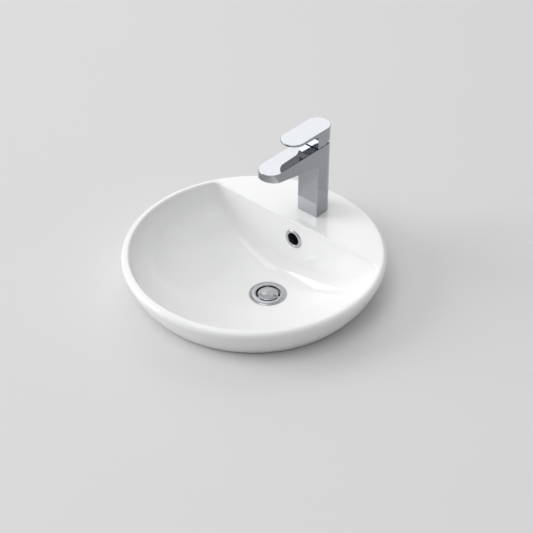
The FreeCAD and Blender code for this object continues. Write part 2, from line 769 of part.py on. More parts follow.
def make_tap_fixing():
    foot = padded("foot_gasket", base_outline("base_gasket_inset"), "base_gasket_height", level="rim_height")
    opening = cylinder("foot_opening", "tap_hole", "2 * overrun", y="tap_y", z="rim_height - overrun")
    keep("tap_base_gasket", combine("Cut", foot, opening))
    stud_y = "tap_y - stud_offset"
    keep("tap_stud", cylinder("stud", "stud_radius", f"stud_grip + rim_height - {LEDGE_UNDER} + stud_drop",
                              y=stud_y, z=f"{LEDGE_UNDER} - stud_drop"))
    rubber_foot = f"({LEDGE_UNDER} - rubber_height)"
    plate_foot = f"({rubber_foot} - plate_height)"
    for node, foot, height in (("tap_rubber_washer", rubber_foot, "rubber_height"),
                               ("tap_clamp_plate", plate_foot, "plate_height")):
        disc = cylinder("horseshoe", "washer_radius", height, y="tap_y", z=foot)
        gap = block("hose_gap", "2 * washer_slot", "2 * washer_radius", f"3 * {height}",
                    y="tap_y - washer_slot_start", z=f"{foot} - {height}")
        hole = cylinder("stud_way", "stud_radius + running", f"3 * {height}", y=stud_y,
                        z=f"{foot} - {height}")
        keep(node, combine("Cut", disc, gap, hole))
    nut = padded("nut_blank", hexagon("stud_nut_flat", "0", stud_y), "stud_nut_height",
                 level=f"{plate_foot} - stud_nut_height")
    bore = cylinder("nut_bore", "stud_radius + fit", "3 * stud_nut_height", y=stud_y,
                    z=f"{plate_foot} - 2 * stud_nut_height")
    keep("tap_stud_nut", combine("Cut", nut, bore))


# Aerator: a recessed insert in the underside of the spout's tip, square to that slope.

def make_aerator():
    shell = "(aerator_radius - fit)"
    inside = "(aerator_radius - fit - aerator_wall)"
    shell_top = "(aerator_depth - aerator_seal_height)"
    housing = turned("aerator_shell", [
        (f"{inside} - aerator_lip", "fit"),
        (shell, "fit"),
        (shell, shell_top),
        (inside, shell_top),
        (inside, "fit + aerator_lip"),
        (f"{inside} - aerator_lip", "fit + aerator_lip"),
    ])
    keep("aerator_housing", in_spout(housing, "0"))
    plate = turned("screen_plate", [
        ("0", "fit + aerator_lip"),
        (f"{inside} - fit", "fit + aerator_lip"),
        (f"{inside} - fit", "fit + aerator_lip + screen_height"),
        ("0", "fit + aerator_lip + screen_height"),
    ])
    holes = [
        cylinder("screen_way", "screen_hole", "2 * overrun",
                 f"screen_ring * cos(360 * {hole} / {SCREEN_HOLES})",
                 f"screen_ring * sin(360 * {hole} / {SCREEN_HOLES})", "-overrun")
        for hole in range(SCREEN_HOLES)
    ]
    keep("aerator_screen", in_spout(combine("Cut", plate, *holes), "0"))
    keep("aerator_seal", in_spout(ring("aerator_washer", f"{inside} - aerator_lip", shell,
                                       shell_top, "aerator_depth"), "0"))


# Cartridge: ceramic discs on a ported base, a carrier that the stem's ball slides, a rotor that
# turns with the lever and holds the stem's pin, a housing over them and the nut that clamps it.

def make_cartridge():
    ports = [(f"port_ring * cos({angle})", f"tap_y + port_ring * sin({angle})") for angle in (30, 150, 270)]
    base = cylinder("base_disc", f"{HOUSING_BORE} - fit", "base_height", y="tap_y", z=BASE_UNDER)
    seal_radius = "(port_radius + port_seal)"
    seal_top = f"({CARTRIDGE} + port_seal_height)"
    ways = []
    seals = []
    for x, y in ports:
        ways.append(cylinder("base_port", "port_radius", "3 * base_height", x, y,
                             f"{BASE_UNDER} - base_height"))
        ways.append(cylinder("seal_seat", f"{seal_radius} + fit", "port_seal_height", x, y, CARTRIDGE))
        seals.append(ring("port_ring_seal", "port_radius", seal_radius, CARTRIDGE, seal_top, x=x, y=y))
    keep("cartridge_base", combine("Cut", base, *ways))
    group = doc.addObject("Part::Compound", "port_seals")
    group.Links = seals
    keep("cartridge_base_seals", group)
    fixed = cylinder("fixed_blank", f"{HOUSING_BORE} - fit", "disc_height", y="tap_y", z=BASE_TOP)
    fixed_ways = [cylinder("disc_port", "port_radius", "3 * disc_height", x, y, f"{BASE_TOP} - disc_height")
                  for x, y in ports]
    keep("cartridge_fixed_disc", combine("Cut", fixed, *fixed_ways))
    moving = cylinder("moving_blank", "moving_radius", "disc_height", y="tap_y", z=FIXED_TOP)
    mixing = cylinder("mixing_hollow", "port_ring", "disc_height / 2", y="tap_y", z=FIXED_TOP)
    keep("cartridge_moving_disc", combine("Cut", moving, mixing))
    carrier = cylinder("carrier_blank", "moving_radius", "carrier_height", y="tap_y", z=MOVING_TOP)
    socket = "2 * (stem_ball + running)"
    pocket = block("ball_socket", socket, socket, "2 * carrier_height", y="tap_y - stem_ball - running",
                   z=f"{MOVING_TOP} + carrier_floor")
    keep("cartridge_carrier", combine("Cut", carrier, pocket))
    rotor_radius = f"({HOUSING_BORE} - running)"
    rotor = cylinder("rotor_blank", rotor_radius, "rotor_height", y="tap_y", z=ROTOR_UNDER)
    slot = block("stem_slot", "2 * (stem_half_x + running)", "2 * slot_half_y", "3 * rotor_height",
                 y="tap_y - slot_half_y", z=f"{ROTOR_UNDER} - rotor_height")
    across = FreeCAD.Vector(0, 1, 0)
    pin_hole = cylinder("pin_hole", "pin_radius + fit", f"3 * {rotor_radius}", x=f"-1.5 * {rotor_radius}",
                        y="tap_y", z=PIVOT, axis=across)
    keep("cartridge_rotor", combine("Cut", rotor, slot, pin_hole))
    pin_half = f"({rotor_radius} - 2 * running)"
    keep("cartridge_pivot_pin", cylinder("pin", "pin_radius", f"2 * {pin_half}", x=f"-{pin_half}", y="tap_y",
                                         z=PIVOT, axis=across))
    keep("cartridge_housing", turned("housing", [
        (HOUSING_BORE, CARTRIDGE),
        ("cartridge_radius", CARTRIDGE),
        ("cartridge_radius", LID_TOP),
        ("lid_hole", LID_TOP),
        ("lid_hole", f"{LID_TOP} - lid_height"),
        (HOUSING_BORE, f"{LID_TOP} - lid_height"),
    ], y="tap_y"))
    keep("cartridge_nut", turned("nut_ring", [
        ("cartridge_radius + fit", f"{LID_TOP} - nut_skirt"),
        ("cartridge_radius + nut_wall", f"{LID_TOP} - nut_skirt"),
        ("cartridge_radius + nut_wall", f"{LID_TOP} + nut_lip"),
        ("lid_hole", f"{LID_TOP} + nut_lip"),
        ("lid_hole", LID_TOP),
        ("cartridge_radius + fit", LID_TOP),
    ], y="tap_y"))


# Lever: a flat pill-shaped handle whose block sits on the stem. The block's rear underside slopes
# up so that it clears the column when the front is lifted.

def make_lever():
    side = padded("lever_side", [
        (COLUMN_FRONT, LEVER_UNDER),
        ("tap_y", LEVER_UNDER),
        (COLUMN_REAR, f"{LEVER_UNDER} + ({COLUMN_REAR} - tap_y) * tan(lift_angle + lift_spare)"),
        (COLUMN_REAR, LEVER_TOP),
        (LEVER_TIP_Y, LEVER_TOP),
        (LEVER_TIP_Y, f"{LEVER_TOP} - lever_tip"),
        (COLUMN_FRONT, f"{LEVER_TOP} - lever_root"),
    ], "3 * tap_half_width", plane="YZ", both_ways=True)
    corner_y, corner_z = value(COLUMN_FRONT), value(f"{LEVER_TOP} - lever_root")

    def inner_corner(edge):
        middle = edge.CenterOfMass
        return abs(middle.y - corner_y) < 1e-3 and abs(middle.z - corner_z) < 1e-3

    side = rounded(side, "lever_fillet", inner_corner)
    plan = padded("lever_plan", pill(f"{LEVER_TIP_Y} + tap_half_width", REAR_CENTRE, "tap_half_width"),
                  "2 * lever_top", level="rim_height")
    solid = combine("Common", side, plan)
    solid = rounded(solid, "edge_break", level_edge(value(LEVER_TOP)))
    socket = block("stem_socket", "2 * (stem_half_x + fit)", "2 * (stem_half_y + fit)",
                   "socket_depth + overrun", y="tap_y - stem_half_y - fit", z=f"{LEVER_UNDER} - overrun")
    pocket = cylinder("block_pocket", "pocket_radius", "pocket_depth + overrun", y="tap_y",
                      z=f"{LEVER_UNDER} - overrun")
    back = FreeCAD.Vector(-1, 0, 0)
    stem_back = "(tap_y + stem_half_y)"
    cover_front = f"({stem_back} + grub_length)"
    screw_way = cylinder("screw_way", "grub_radius + fit", "2 * tap_half_width", y=stem_back, z=GRUB,
                         axis=back)
    cover_seat = cylinder("cover_seat", "cover_radius + fit", "tap_half_width", y=cover_front, z=GRUB,
                          axis=back)
    keep("lever_handle", combine("Cut", solid, socket, pocket, screw_way, cover_seat))
    keep("lever_grub_screw", cylinder("grub_screw", "grub_radius", "grub_length", y=stem_back, z=GRUB,
                                      axis=back))
    cover_length = f"{COLUMN_REAR} - cover_inset - {cover_front}"
    keep("lever_cover_plug", cylinder("cover_plug", "cover_radius", cover_length, y=cover_front, z=GRUB,
                                      axis=back))


# Stem: a flat steel bar in the lever's socket, pinned in the rotor, with a ball end in the carrier.

def make_stem():
    bar_foot = f"({ROTOR_UNDER} + running)"
    bar = block("stem_bar", "2 * stem_half_x", "2 * stem_half_y", f"{SOCKET_END} - {bar_foot}",
                y="tap_y - stem_half_y", z=bar_foot)
    neck = cylinder("stem_neck_rod", "stem_neck", f"{bar_foot} + stem_neck - {BALL}", y="tap_y", z=BALL)
    ball = doc.addObject("Part::Sphere", "stem_ball_end")
    bind(ball, "Radius", "stem_ball")
    move(ball, y="tap_y", z=BALL)
    pin_way = cylinder("stem_pin_way", "pin_radius + fit", "6 * stem_half_x", x="-3 * stem_half_x",
                       y="tap_y", z=PIVOT, axis=FreeCAD.Vector(0, 1, 0))
    keep("cartridge_stem", combine("Cut", combine("Fuse", bar, neck, ball), pin_way))


make_basin()
make_overflow_trim()
make_waste()
make_plug()
make_tap_body()
make_tap_fixing()
make_aerator()
make_cartridge()
make_lever()
make_stem()
doc.recompute()

# Nothing is written unless every feature and every solid is sound.
faulty = [item.Label for item in doc.Objects if "Invalid" in item.State or "Error" in item.State]
if faulty:
    raise RuntimeError(f"failed features: {faulty}")
for piece in pieces:
    if piece.Shape.isNull() or not piece.Shape.isValid() or not piece.Shape.Solids:
        raise RuntimeError(f"bad solid: {piece.Label}")

os.makedirs("parts", exist_ok=True)
for piece in pieces:
    shape = piece.Shape
    solid = shape.Solids[0] if len(shape.Solids) == 1 else shape
    solid.exportStep(f"parts/{piece.Label}.step")
    print(piece.Label, len(shape.Solids), round(shape.Volume / 1000, 2), "cm3")
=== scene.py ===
import json
import math

import bmesh
import bpy
import numpy as np
from mathutils import Matrix, Vector


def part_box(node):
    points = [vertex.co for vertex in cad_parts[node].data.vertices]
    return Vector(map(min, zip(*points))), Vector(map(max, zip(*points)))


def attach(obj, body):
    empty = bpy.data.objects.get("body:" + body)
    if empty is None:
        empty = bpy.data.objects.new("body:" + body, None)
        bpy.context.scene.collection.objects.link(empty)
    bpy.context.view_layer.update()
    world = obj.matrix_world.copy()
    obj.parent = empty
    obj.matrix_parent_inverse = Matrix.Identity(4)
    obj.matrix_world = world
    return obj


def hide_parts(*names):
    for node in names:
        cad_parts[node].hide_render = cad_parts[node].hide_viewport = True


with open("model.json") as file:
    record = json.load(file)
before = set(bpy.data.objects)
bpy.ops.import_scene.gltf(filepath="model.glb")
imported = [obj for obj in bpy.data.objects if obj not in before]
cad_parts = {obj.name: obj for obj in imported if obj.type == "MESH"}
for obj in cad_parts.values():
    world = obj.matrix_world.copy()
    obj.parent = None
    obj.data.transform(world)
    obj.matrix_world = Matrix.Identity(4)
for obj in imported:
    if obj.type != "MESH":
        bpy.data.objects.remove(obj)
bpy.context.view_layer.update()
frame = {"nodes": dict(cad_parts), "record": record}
nodes = frame["nodes"]
scene = bpy.context.scene

# Basin body: one slip-cast piece of vitreous china under white glaze. Its bowl leans towards the
# waste, a straight wall cuts it off under the tap ledge, and the outer wall curves down to the
# bare ring that stands on the bench. An overflow duct runs down behind the wall to the waste.

basin_low, basin_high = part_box("basin_body")
waste_low, waste_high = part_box("waste_body")
tap_low, tap_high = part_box("tap_body")
nut_low, nut_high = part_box("cartridge_nut")
trim_low, trim_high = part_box("overflow_trim")
rim_top = basin_high.z
boss_foot = basin_low.z
waste_y = (waste_low.y + waste_high.y) / 2
overflow_z = (trim_low.z + trim_high.z) / 2

bowl_radius = 0.2125
bowl_depth = 0.121
bowl_closes = 0.1227
bowl_fullness = 1.75
bowl_lean = 3
china_wall = 0.0085
ledge_front = 0.103
ledge_thick = 0.014
ledge_under = rim_top - ledge_thick
corner_round = 0.007
valley_growth = 0.0175
valley_depth = 0.114
valley_bend = 1.6
lip_round = 0.004
rim_corner = 0.2286
rim_round = 0.0085
seat_radius = 0.199
seat_round = 0.0025
seat_inner = 0.1855
skirt_curve = 0.138
skirt_inside = 0.188
boss_radius = 0.038
boss_round = 0.003
waste_hole = 0.026
recess_radius = 0.0335
recess_round = 0.0015
recess_depth = 0.003
recess_floor = rim_top - bowl_depth - recess_depth
tap_y = (nut_low.y + nut_high.y) / 2
tap_hole = 0.0175
overflow_hole = 0.0145
columns = 360
halvings = 40
quarter = math.pi / 2
bowl_rings = 46
lip_rings = 8
rim_rings = 8
rim_round_rings = 12
skirt_rings = 18
seat_round_rings = 5
seat_rings = 3
under_rings = 26
boss_rings = 5
recess_rings = 4


def bowl_level(points):
    """Below nought inside the bowl's leaning ellipse, nought on it and above nought outside."""
    fall = np.clip((rim_top - points[..., 2]) / bowl_depth, 0, None)
    across = np.hypot(points[..., 0], points[..., 1] - waste_y * fall ** bowl_lean)
    return (across / bowl_radius) ** 2 + (fall * bowl_depth / bowl_closes) ** bowl_fullness - 1


def hollow_gap(points):
    """About how far points lie outside the hollow: the bowl met by the ledge wall in a round valley."""
    step = 1e-5
    here = bowl_level(points)
    slope = np.sqrt(sum(((bowl_level(points + step * axis) - here) / step) ** 2 for axis in np.eye(3)))
    bowl = here / np.maximum(slope, step)
    wall = points[..., 1] - ledge_front
    fall = np.clip((rim_top - points[..., 2]) / valley_depth, 0, 1)
    valley = corner_round + valley_growth * fall ** valley_bend
    meeting = np.hypot(np.maximum(bowl + valley, 0), np.maximum(wall + valley, 0))
    return np.minimum(np.maximum(bowl, wall), -valley) + meeting


def cast(origin, direction, skin=0.0):
    """Where rays from inside the hollow meet its surface, grown by a skin."""
    near = np.zeros(columns)
    far = np.full(columns, 2 * bowl_radius)
    for _ in range(halvings):
        middle = (near + far) / 2
        outside = hollow_gap(origin + middle[:, None] * direction) > skin
        far = np.where(outside, middle, far)
        near = np.where(outside, near, middle)
    return origin + far[:, None] * direction


azimuth = np.arange(columns) * 2 * math.pi / columns
outward = np.stack([np.cos(azimuth), np.sin(azimuth), np.zeros(columns)], axis=1)
upward = np.array([0, 0, 1.0])


def waste_ring(radius, z):
    """Level ring about the waste."""
    return np.array([0, waste_y, z]) + radius * outward


def swept(start, end, origin, count, skin):
    """Rings between two others, where rays from one origin that fan evenly meet the surface."""
    first = np.arctan2(np.hypot(*(start - origin).T[:2]), origin[2] - start[:, 2])
    last = np.arctan2(np.hypot(*(end - origin).T[:2]), origin[2] - end[:, 2])
    for share in np.arange(1, count) / count:
        angle = (first + (last - first) * share)[:, None]
        yield cast(origin, np.sin(angle) * outward - np.cos(angle) * upward, skin)


def blended(start, end, count):
    """Rings in even steps between two others."""
    return [start + (end - start) * share for share in np.arange(1, count) / count]


def lip_ring(turn):
    """The bowl's upper edge, rounded over into the flat rim."""
    level = np.array([0, waste_y, rim_top - lip_round * (1 - math.sin(turn))])
    edge = cast(level, outward)
    along = np.roll(edge, -1, axis=0) - np.roll(edge, 1, axis=0)
    normal = np.stack([along[:, 1], -along[:, 0], np.zeros(columns)], axis=1)
    normal /= np.linalg.norm(normal, axis=1)[:, None]
    return edge + lip_round * (1 - math.cos(turn)) * normal


chord = Vector((rim_corner - seat_radius, rim_top))
chord_gap = math.sqrt(skirt_curve ** 2 - (chord.length / 2) ** 2)
to_centre = Vector((-chord.y, chord.x)).normalized() * chord_gap
skirt_centre = Vector((seat_radius, 0)) + chord / 2 + to_centre


def round_reach(size, z):
    """How far out the centre of a round of a size, at a height, lies so that it meets the outer wall."""
    return skirt_centre.x + math.sqrt((skirt_curve - size) ** 2 - (z - skirt_centre.y) ** 2)


rim_arc_z = rim_top - rim_round
rim_arc_r = round_reach(rim_round, rim_arc_z)
seat_arc_r = round_reach(seat_round, seat_round)
skirt_start = math.atan2(rim_arc_z - skirt_centre.y, rim_arc_r - skirt_centre.x)
skirt_end = math.atan2(seat_round - skirt_centre.y, seat_arc_r - skirt_centre.x)


def rim_ring(radius, z):
    """Level ring about the basin's middle, with its points in line with the waste's."""
    along = outward[:, 1] * waste_y
    reach = np.sqrt(along ** 2 + radius ** 2 - waste_y ** 2) - along
    return np.array([0, waste_y, z]) + reach[:, None] * outward


def rim_arc(centre, radius, start, end, count):
    """Rings along an arc of the outer profile."""
    for angle in np.linspace(start, end, count):
        yield rim_ring(centre[0] + radius * math.cos(angle), centre[1] + radius * math.sin(angle))


floor_edge = cast(waste_ring(recess_radius + recess_round, rim_top - bowl_depth / 2), -upward)
boss_top = cast(waste_ring(boss_radius, 0), -upward, china_wall)
lip_start = lip_ring(0)
lip_end = lip_ring(quarter)
seat_inside = cast(np.array([0, waste_y, 0]), outward, china_wall)
rings = [floor_edge]
rings += swept(floor_edge, lip_start, np.array([0, waste_y, rim_top]), bowl_rings, 0)
rings += [lip_ring(turn) for turn in np.linspace(0, quarter, lip_rings)]
rings += blended(lip_end, rim_ring(rim_arc_r, rim_top), rim_rings)
rings += rim_arc((rim_arc_r, rim_arc_z), rim_round, quarter, skirt_start, rim_round_rings)
rings += list(rim_arc(skirt_centre, skirt_curve, skirt_start, skirt_end, skirt_rings))[1:]
seat_arc = rim_arc((seat_arc_r, seat_round), seat_round, skirt_end, -quarter, seat_round_rings)
rings += list(seat_arc)[1:]
rings += blended(rings[-1], seat_inside, seat_rings)
rings.append(seat_inside)
rings += swept(seat_inside, boss_top, np.array([0, waste_y, 0]), under_rings, china_wall)
rings.append(boss_top)
for turn in np.linspace(0, quarter, boss_rings):
    rings.append(waste_ring(boss_radius - boss_round * (1 - math.cos(turn)),
                            boss_foot + boss_round * (1 - math.sin(turn))))
rings.append(waste_ring(waste_hole, boss_foot))
rings.append(waste_ring(waste_hole, recess_floor))
rings.append(waste_ring(recess_radius, recess_floor))
for turn in np.linspace(0, quarter, recess_rings)[:-1]:
    rings.append(floor_edge - recess_round * (math.cos(turn) * outward + (1 - math.sin(turn)) * upward))


def deselect():
    """Leave nothing selected, so that the next operator acts on the new piece alone."""
    bpy.ops.object.select_all(action="DESELECT")


def named(name):
    """Name the piece that an operator has just made, with its place in its mesh."""
    piece = bpy.context.object
    piece.name = name
    piece.data.name = name
    bpy.ops.object.transform_apply(location=True, rotation=True, scale=True)
    return piece


weld_gap = 1e-6


def tidy_shell():
    """In edit mode: merge the seams and point every face outwards."""
    bpy.ops.mesh.select_all(action="SELECT")
    bpy.ops.mesh.remove_doubles(threshold=weld_gap)
    bpy.ops.mesh.normals_make_consistent(inside=False)
    bpy.ops.object.mode_set(mode="OBJECT")


def ringed(name, rings, closed):
    """A circle extruded along a row of rings. The last ring meets the first, or both are filled."""
    deselect()
    bpy.ops.mesh.primitive_circle_add(vertices=len(rings[0]), radius=1)
    piece = named(name)
    column = piece.data.attributes.new("column", "INT", "POINT")
    column.data.foreach_set("value", range(len(rings[0])))
    bpy.ops.object.mode_set(mode="EDIT")
    bpy.ops.mesh.select_all(action="SELECT")
    path = rings + rings[:1] if closed else rings
    for number, ring in enumerate(path):
        if number:
            bpy.ops.mesh.extrude_edges_move()
        elif not closed:
            bpy.ops.mesh.edge_face_add()
        mesh = bmesh.from_edit_mesh(piece.data)
        layer = mesh.verts.layers.int["column"]
        for vert in mesh.verts:
            if vert.select:
                vert.co = ring[vert[layer]]
        bmesh.update_edit_mesh(piece.data)
    if not closed:
        bpy.ops.mesh.edge_face_add()
    tidy_shell()
    piece.data.attributes.remove(piece.data.attributes["column"])
    return piece


def finished(piece, modifier_type, **settings):
    """Add a modifier with its settings and apply it."""
    deselect()
    bpy.context.view_layer.objects.active = piece
    piece.select_set(True)
    modifier = piece.modifiers.new(modifier_type.title(), modifier_type)
    for field, value in settings.items():
        setattr(modifier, field, value)
    bpy.ops.object.modifier_apply(modifier=modifier.name)
    return piece


def bevelled(piece, width, segments, degrees):
    """Round the edges that turn by more than an angle."""
    finished(piece, "BEVEL", width=width, segments=segments, limit_method="ANGLE",
             angle_limit=math.radians(degrees))


def combined(piece, operation, *tools):
    """Cut tools out of a piece, join them on or keep what is common, and delete them."""
    for tool in tools:
        finished(piece, "BOOLEAN", operation=operation, object=tool, solver="MANIFOLD")
        bpy.data.objects.remove(tool)
    return piece


def prism(name, outline, low, high, across="X"):
    """Block with an outline of (y, z) corners that runs along X, or of (x, y) corners along Z."""
    if across == "X":
        corners = [Vector((low, first, second)) for first, second in outline]
        run = Vector((high - low, 0, 0))
    else:
        corners = [Vector((first, second, low)) for first, second in outline]
        run = Vector((0, 0, high - low))
    deselect()
    bpy.ops.mesh.primitive_circle_add(vertices=len(corners), radius=1, fill_type="NGON")
    piece = named(name)
    for vertex, corner in zip(piece.data.vertices, corners):
        vertex.co = corner
    bpy.ops.object.mode_set(mode="EDIT")
    bpy.ops.mesh.select_all(action="SELECT")
    bpy.ops.mesh.extrude_region_move(TRANSFORM_OT_translate={"value": run})
    tidy_shell()
    return piece


def oblong(left, right, near, far):
    """Corners of a rectangle."""
    return [(left, near), (right, near), (right, far), (left, far)]


def rod(name, radius, start, end, sides=64):
    """Round bar between two points."""
    run = Vector(end) - Vector(start)
    deselect()
    bpy.ops.mesh.primitive_cylinder_add(vertices=sides, radius=radius, depth=run.length,
                                        location=(Vector(start) + Vector(end)) / 2,
                                        rotation=run.to_track_quat("Z", "Y").to_euler())
    return named(name)


def upright(name, radius, x, y, low, high):
    """Upright round bar."""
    return rod(name, radius, (x, y, low), (x, y, high))


def smooth(piece, degrees):
    """Smooth shading, with edges that turn by more than an angle left sharp."""
    deselect()
    bpy.context.view_layer.objects.active = piece
    piece.select_set(True)
    bpy.ops.object.shade_smooth_by_angle(angle=math.radians(degrees))


basin = ringed("basin_casting", rings, closed=True)
beyond = 0.01
past_basin = 0.3
past_foot = -0.05
past_rim = 0.1
ledge_back = ledge_front + china_wall
hollow_sides = 128
hollow_start = -0.02
hollow_bevel = 0.006
hollow_top = skirt_inside + (rim_corner - seat_radius) * ledge_under / rim_top
hollow_turn = np.linspace(0, 2 * math.pi, hollow_sides, endpoint=False)
hollow_round = np.stack([np.cos(hollow_turn), np.sin(hollow_turn), np.zeros(hollow_sides)], axis=1)
under_ledge = ringed("under_ledge", [
    skirt_inside * hollow_round + hollow_start * upward,
    skirt_inside * hollow_round,
    hollow_top * hollow_round + ledge_under * upward,
], closed=False)
wall_outline = oblong(ledge_back, past_basin, past_foot, past_rim)
combined(under_ledge, "INTERSECT", prism("behind_wall", wall_outline, -past_basin, past_basin))
bevelled(under_ledge, hollow_bevel, segments=4, degrees=40)
combined(basin, "DIFFERENCE", under_ledge)

# The duct's casing joins the wall to the boss, and its bore is left open for the water.
duct_wall = 0.006
duct_half = 0.018
duct_gap = 0.009
duct_height = 0.012
duct_rear = ledge_back + duct_gap
duct_floor = boss_foot + duct_wall
duct_leg = duct_floor + duct_height
mouth_room = 0.004
wall_middle = ledge_front + china_wall / 2
floor_middle = rim_top - bowl_depth - china_wall / 2
corner_cut = 0.017
casing_bevel = 0.004
casing = prism("duct_casing", [
    (waste_y, boss_foot),
    (duct_rear + duct_wall, boss_foot),
    (duct_rear + duct_wall, ledge_under + duct_wall),
    (wall_middle, ledge_under + duct_wall),
    (wall_middle, floor_middle + corner_cut),
    (wall_middle - corner_cut, floor_middle),
    (waste_y, floor_middle),
], -duct_half - duct_wall, duct_half + duct_wall)
bevelled(casing, casing_bevel, segments=4, degrees=60)
combined(basin, "UNION", casing)
bore = prism("duct_bore", [
    (waste_y, duct_floor),
    (duct_rear, duct_floor),
    (duct_rear, ledge_under - duct_wall),
    (ledge_back, ledge_under - duct_wall),
    (ledge_back, duct_leg),
    (waste_y, duct_leg),
], -duct_half, duct_half)
mouth_start = ledge_front - 2 * beyond
mouth_stop = duct_rear - mouth_room
mouth = rod("overflow_bore", overflow_hole, (0, mouth_start, overflow_z), (0, mouth_stop, overflow_z))
tap_bore = upright("tap_bore", tap_hole, 0, tap_y, ledge_under - beyond, rim_top + beyond)
combined(basin, "DIFFERENCE", bore, mouth, tap_bore)
smooth(basin, degrees=40)


class Wire:
    """One output of a material's nodes. Arithmetic on it adds Math nodes."""

    def __init__(self, tree, output=None):
        self.tree = tree
        self.output = output

    def node(self, kind, settings, inputs, output=0):
        """Add any node with its settings and sockets. A ramp's stops name both ends first."""
        added = self.tree.nodes.new(kind)
        for field, value in settings.items():
            if field == "stops":
                for place, _ in value[2:]:
                    added.color_ramp.elements.new(place)
                for element, (place, shade) in zip(added.color_ramp.elements, sorted(value)):
                    element.position = place
                    element.color = shade
            else:
                setattr(added, field, value)
        for name, value in inputs.items():
            if isinstance(value, Wire):
                self.tree.links.new(value.output, added.inputs[name])
            else:
                added.inputs[name].default_value = value
        return Wire(self.tree, added.outputs[output]) if added.outputs else None

    def math(self, operation, first, second):
        """Add a Math node."""
        return self.node("ShaderNodeMath", {"operation": operation}, {0: first, 1: second})

    def __add__(self, other):
        return self.math("ADD", self, other)

    def __mul__(self, other):
        return self.math("MULTIPLY", self, other)

    def __gt__(self, other):
        return self.math("GREATER_THAN", self, other)

    def __lt__(self, other):
        return self.math("LESS_THAN", self, other)

    __radd__ = __add__
    __rmul__ = __mul__


class Finish:
    """A material with one Principled shader, and the coordinates that its patterns read."""

    def __init__(self, name, **constants):
        self.material = bpy.data.materials.new(name)
        self.material.use_nodes = True
        tree = self.material.node_tree
        tree.nodes.clear()
        self.root = Wire(tree)
        self.shader = tree.nodes.new("ShaderNodeBsdfPrincipled")
        surface = tree.nodes.new("ShaderNodeOutputMaterial")
        tree.links.new(self.shader.outputs[0], surface.inputs["Surface"])
        for field, value in constants.items():
            socket = field.replace("_", " ").title().replace("Ior", "IOR")
            self.shader.inputs[socket].default_value = value
        self.place = self.root.node("ShaderNodeTexCoord", {}, {}, "Object")

    def set(self, field, wire):
        """Link a wire to a field of the shader."""
        self.root.tree.links.new(wire.output, self.shader.inputs[field])

    def noise(self, size, detail=2.0):
        """Noise whose lumps are about a size across."""
        inputs = {"Vector": self.place, "Scale": 1 / size, "Detail": detail}
        return self.root.node("ShaderNodeTexNoise", {}, inputs)

    def axis(self, name):
        """One coordinate of the shaded point."""
        return self.root.node("ShaderNodeSeparateXYZ", {}, {"Vector": self.place}, name)

    def between(self, share, first, second):
        """Mix of two colours."""
        return self.root.node("ShaderNodeMix", {"data_type": "RGBA"}, {0: share, 6: first, 7: second}, 2)

    def bump(self, height, depth, below=None):
        """Relief of a real depth, laid over any relief below it."""
        inputs = {"Height": height, "Distance": depth}
        if below:
            inputs["Normal"] = below
        return self.root.node("ShaderNodeBump", {}, inputs)

    def on(self, *pieces):
        """Give pieces this finish all over."""
        for piece in pieces:
            piece.data.materials.clear()
            piece.data.materials.append(self.material)


glaze = Finish("white_glaze", ior=1.52)
glaze_white = (0.935, 0.935, 0.93, 1)
glaze_cool = (0.92, 0.925, 0.925, 1)
bisque = (0.74, 0.72, 0.68, 1)
# Painted shade: dark grey laid over the inside of the overflow duct, where little light reaches.
duct_painted_shade = (0.10, 0.10, 0.10, 1)
cloud_size = 0.09
peel_size = 0.012
peel_depth = 0.00002
grain_size = 0.0012
grain_depth = 0.0002
glaze_rough = 0.045
cloud_rough = 0.03
bare_rough = 0.5
seat_bare = 0.0012
foot_bare = 0.0004
duct_skin = 0.001
duct_mouth = 0.003
cloud = glaze.noise(cloud_size)
orange_peel = glaze.noise(peel_size, detail=1.0)
grain = glaze.noise(grain_size, detail=4.0)
sideways = glaze.axis("X")
rearward = glaze.axis("Y")
height = glaze.axis("Z")
across = sideways * sideways + rearward * rearward
on_seat = (height < seat_bare) * (across > seat_inner ** 2)
bare = on_seat + (height < boss_foot + foot_bare)
# Mask for the painted shade inside the overflow duct's bore and mouth, which darkens the glaze colour
# there.
duct_shade_mask = (rearward > ledge_back - duct_mouth) * (rearward < duct_rear + duct_skin)
duct_shade_mask = duct_shade_mask * (sideways > -duct_half - duct_skin) * (sideways < duct_half + duct_skin)
duct_shade_mask = duct_shade_mask * (height < ledge_under - duct_wall + duct_skin) * (height > duct_floor - duct_skin)
body = glaze.between(cloud, glaze_white, glaze_cool)
glaze.set("Base Color", glaze.between(duct_shade_mask, glaze.between(bare, body, bisque), duct_painted_shade))
glaze.set("Roughness", glaze_rough + cloud_rough * cloud + bare_rough * bare)
glaze.set("Normal", glaze.bump(grain * bare, grain_depth, glaze.bump(orange_peel, peel_depth)))
glaze.on(basin)
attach(basin, "base")
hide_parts("basin_body")

# Overflow trim: a pressed brass ring, chromed, whose rounded lip covers the edge of the hole in the
# ledge wall. Its short sleeve is pushed into the china.

trim_radius = (trim_high.x - trim_low.x) / 2
trim_lip = ledge_front - trim_low.y
trim_bore = 0.012
trim_fold = 0.0012
trim_slack = 0.0003
trim_sleeve = overflow_hole - trim_slack
trim_end = trim_high.y - ledge_front


def spun(name, outline, centre, axis="Z", steps=96):
    """Closed outline of (radius, height) corners spun about an upright axis, or about one along Y."""
    deselect()
    bpy.ops.mesh.primitive_circle_add(vertices=len(outline), radius=1)
    piece = named(name)
    for vertex, (radius, along) in zip(piece.data.vertices, outline):
        vertex.co = Vector((radius, 0, along)) if axis == "Z" else Vector((radius, along, 0))
        vertex.co += Vector(centre)
    bpy.ops.object.mode_set(mode="EDIT")
    bpy.ops.mesh.select_all(action="SELECT")
    bpy.ops.mesh.spin(steps=steps, angle=2 * math.pi, center=centre,
                      axis=(0, 0, 1) if axis == "Z" else (0, 1, 0))
    tidy_shell()
    return piece


